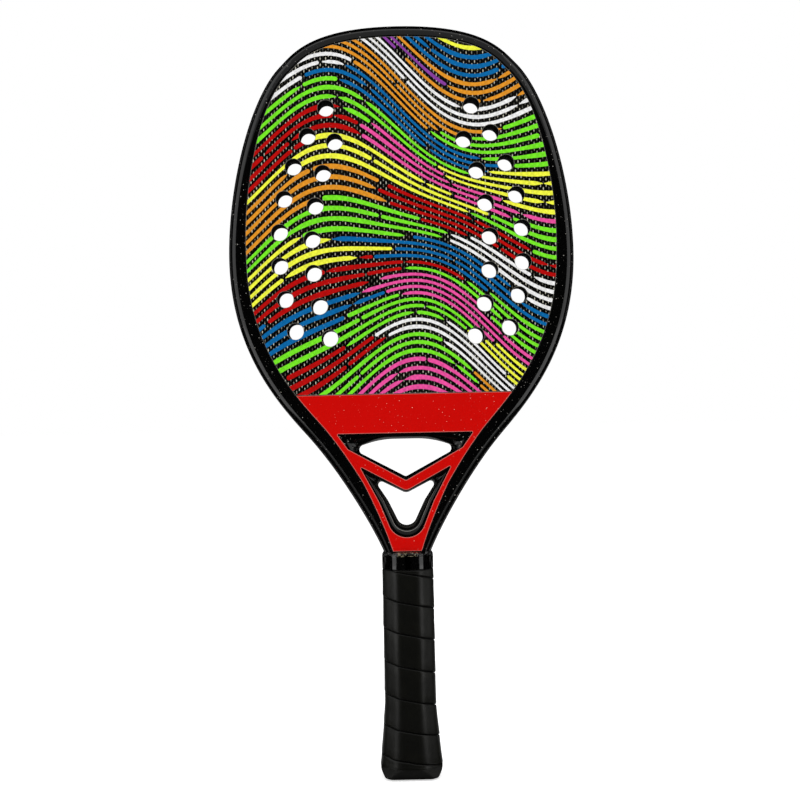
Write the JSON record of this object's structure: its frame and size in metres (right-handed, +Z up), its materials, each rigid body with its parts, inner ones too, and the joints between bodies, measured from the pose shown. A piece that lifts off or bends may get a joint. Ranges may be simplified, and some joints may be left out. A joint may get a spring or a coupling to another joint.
{
  "type": "beach tennis racket",
  "caption": "Rigid racket with a drilled solid foam face in a moulded hollow frame, an open throat with a chevron strut, and a wound, flared octagonal handle.",
  "frame": {"origin": "centre of the butt's underside", "axes": "+Z up the handle to the crown of the head, -Y out of the printed front face, X across the head"},
  "size_m": [0.2298, 0.0382, 0.5],
  "materials": {
    "frame_tube": "black lacquer with sparse fine flecks",
    "woven_skin": "plain-woven black fibre under clear resin, printed in bright stripes",
    "foam_core": "matt black foam",
    "yoke": "black lacquer",
    "throat_panel": "red glitter lacquer",
    "handle_moulding": "matt black moulding",
    "collar": "high gloss black",
    "grip": "satin black synthetic leather",
    "cap": "matt black rubber",
    "door": "satin black plastic",
    "tack": "bright steel"
  },
  "bodies": {
    "root": {"frame_tube": "frame_tube", "eva_core": "foam_core", "front_face_skin": "woven_skin", "rear_face_skin": "woven_skin", "throat_yoke": "yoke", "front_throat_panel": "throat_panel", "rear_throat_panel": "throat_panel", "handle_shell_front": "handle_moulding", "handle_shell_rear": "handle_moulding", "grip_collar": "collar", "grip_strip": "grip", "butt_cap": "cap", "cap_door": "door", "cap_tack_front": "tack", "cap_tack_rear": "tack"}
  },
  "joints": []
}
